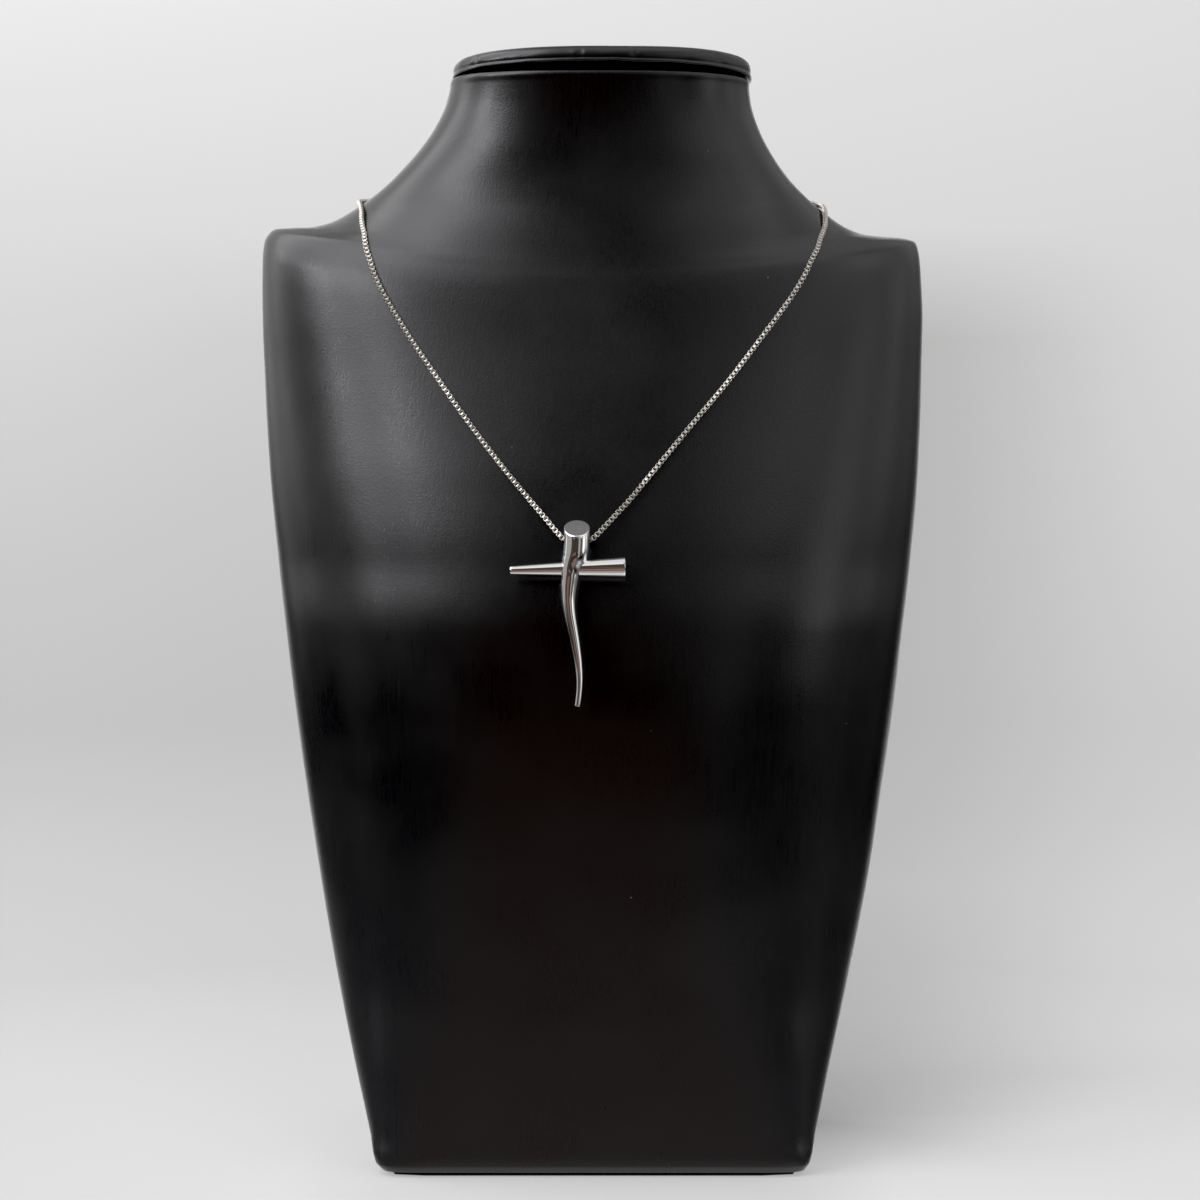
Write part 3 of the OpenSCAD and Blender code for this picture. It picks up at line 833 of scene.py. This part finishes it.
def backdrop_paper():
    """Pale paper with painted light, a faint glow like that of a lit studio sweep, and the bust's painted
    shadow on it.
    """
    material, g, where = new_material("backdrop_paper")
    x, y, z = g.add("ShaderNodeSeparateXYZ", {0: where}).outputs
    lit = g.math("SUBTRACT", 1.0, bust_shade(g, x, y, z))
    glow = g.product(paper_glow(g, x, y, z), lit)
    tone = g.mix(g.noise(where, 3, 2), (1.0, 0.985, 0.98, 1), (0.985, 0.99, 1.0, 1))
    light = g.add("ShaderNodeEmission", {"Color": tone, "Strength": glow})
    paper = g.add("ShaderNodeBsdfDiffuse", {"Color": (0.3, 0.3, 0.3, 1)})
    both = g.add("ShaderNodeAddShader", {0: light.outputs[0], 1: paper.outputs[0]})
    g.add("ShaderNodeOutputMaterial", {"Surface": both.outputs[0]})
    return material


# Soft white lights of the studio: turn to the viewer's right from the camera, height, full within, none
# beyond (degrees), brightness
LIGHTS = [
    (-88, 47, 30, 36, 2.1), (-50, 44, 18, 24, 1.0), (-135, 29, 28, 36, 0.8), (-84, 8, 3, 19, 0.5),
    (-67, 24, 3, 9, 7.5), (-60, 16, 9, 15, 0.4), (-46, 31, 3, 9, 6.0), (-112, 13, 8, 16, 1.0),
    (-95, 84, 28, 36, 0.4), (-5, 76, 16, 32, 0.35), (-34, 46, 14, 21, 0.6), (54, 43, 20, 31, 0.45),
    (30, 18, 20, 29, 0.23), (71, 27, 22, 36, 0.24), (87, 0, 3, 24, 0.14), (67, 8, 5, 13, 1.0),
    (102, 10, 3, 12, 0.35), (47, -52, 19, 33, 0.4), (119, 41, 3, 56, 0.57), (180, 1, 8, 25, 1.9),
    (-5, -42, 20, 29, 0.2), (33, -88, 60, 78, 0.19), (184, -63, 48, 58, 0.45),
]
# A faint warm one in front, its colour, and the dim room's own brightness
WARM_LIGHT = (-10, 3, 38, 44, 0.05)
WARM = (1.1, 0.98, 0.9)
AMBIENT = 0.005
# The view's black level, which sets how deep the leatherette's black is
BLACK_LEVEL = 0.0062

# Boards, frames and a dark doorway that the silver mirrors: turn, height, half width, half height,
# soft edge (degrees), brightness and colour
PANES = [
    (-11, 47, 9, 4, 3, 0.9, (1, 1, 1)),
    (-6, 15, 22, 4.5, 3, 0.045, (1.15, 1, 0.88)),
    (0, 0, 26, 4, 2, 0.035, (1.2, 0.95, 0.85)),
    (-12, 7, 14, 2, 1.5, 0.13, (1.6, 0.85, 0.62)),
    (10, 7.5, 6, 2.5, 2, 0.025, (1.5, 0.85, 0.65)),
    (-6, -12, 22, 5, 2, 0.16, (1.35, 0.92, 0.78)),
    (-6, -27, 22, 5, 4, 0.1, (1.5, 0.9, 0.7)),
    (-6, -43, 22, 6, 6, 0.3, (1.15, 0.97, 0.9)),
    (-74, 10, 22, 7, 4, 0.34, (1.03, 1, 0.96)),
    (29, 6, 4, 12, 2, 0.38, (1.03, 1, 0.95)),
    (42, 6, 4, 12, 1.5, 0.035, (1.1, 1, 0.95)),
    (52, 6, 3, 12, 2, 0.13, (1.05, 1, 0.95)),
]


def soft_light(g, way, turn, rise, full, none, bright):
    """Brightness of one round soft light in each direction."""
    t, e = math.radians(turn), math.radians(rise)
    to = (math.sin(t) * math.cos(e), -math.cos(t) * math.cos(e), math.sin(e))
    return g.soft_ramp(g.vector_math("DOT_PRODUCT", way, to)["Value"], math.cos(math.radians(none)),
                       math.cos(math.radians(full)), 0.0, bright)


def band(g, angle, middle, half, soft):
    """1 where an angle is this near the middle, and 0 beyond a soft edge."""
    low, high, soft = math.radians(middle - half), math.radians(middle + half), math.radians(soft)
    return g.product(g.soft_ramp(angle, low - soft, low), g.soft_ramp(angle, high, high + soft, 1.0, 0.0))


def world():
    """The room as the object sees it: broad soft lights in a dim room, behind a few panes."""
    made = bpy.data.worlds.new("room")
    bpy.context.scene.world = made
    made.use_nodes = True
    g = Graph(made.node_tree)
    way = g.add("ShaderNodeTexCoord").outputs["Generated"]
    way = g.vector_math("NORMALIZE", way)[0]
    white = g.sum(AMBIENT, *[soft_light(g, way, *light) for light in LIGHTS])
    warm = g.add("ShaderNodeVectorMath", {0: WARM, 3: soft_light(g, way, *WARM_LIGHT)}, operation="SCALE")
    total = g.vector_math("ADD", warm.outputs[0], white)[0]
    to_x, to_y, to_z = g.add("ShaderNodeSeparateXYZ", {0: way}).outputs
    turns = g.math("ARCTAN2", to_x, g.product(to_y, -1.0))
    rises = g.math("ARCSINE", to_z)
    for turn, rise, wide, high, soft, bright, tint in PANES:
        cover = g.product(band(g, turns, turn, wide, soft), band(g, rises, rise, high, soft))
        total = g.mix_vector(cover, total, tuple(bright * c for c in tint))
    back = g.add("ShaderNodeBackground", {"Color": total, "Strength": 1.0})
    g.add("ShaderNodeOutputWorld", {"Surface": back.outputs[0]})
    made.cycles.sampling_method = "MANUAL"
    made.cycles.sample_map_resolution = 512


def camera():
    data = bpy.data.cameras.new("camera")
    data.sensor_width = 36
    data.lens = CAMERA_LENS
    data.clip_start = 0.05
    data.clip_end = 20
    made = bpy.data.objects.new("camera", data)
    bpy.context.scene.collection.objects.link(made)
    made.location = CAMERA_AT
    made.rotation_euler = (math.radians(90 - CAMERA_DOWN), 0, 0)
    bpy.context.scene.camera = made


def dress(piece, node, material):
    """Gives a piece its material and slot, and puts it in the place of a CAD node."""
    piece.data.materials.clear()
    piece.data.materials.append(material)
    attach(piece, "root")
    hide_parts(node)


camera()
world()
stage()
dress(bust_skin(), "bust_body", leatherette("bust_leatherette", 2100))
pad = cap_pad()
dress(pad, "bust_cap", leatherette("cap_leatherette", 2300))
dress(cross(), "cross_pendant", silver("cross_silver", 0.06, 0.05, *POLISHED))
dress(chain(), "box_chain", silver("link_silver", 0.38, 0.1, *TARNISHED))
dress(clasp_barrel(), "clasp", silver("clasp_silver", 0.08, 0.06, *POLISHED))
board = frame["nodes"]["base_board"]
board.data.materials.clear()
board.data.materials.append(board_paint())

view = bpy.context.scene.view_settings
view.view_transform = "Standard"
view.look = "None"
view.use_curve_mapping = True
view.curve_mapping.black_level = (BLACK_LEVEL,) * 3
view.curve_mapping.update()
bpy.context.scene.cycles.use_denoising = True
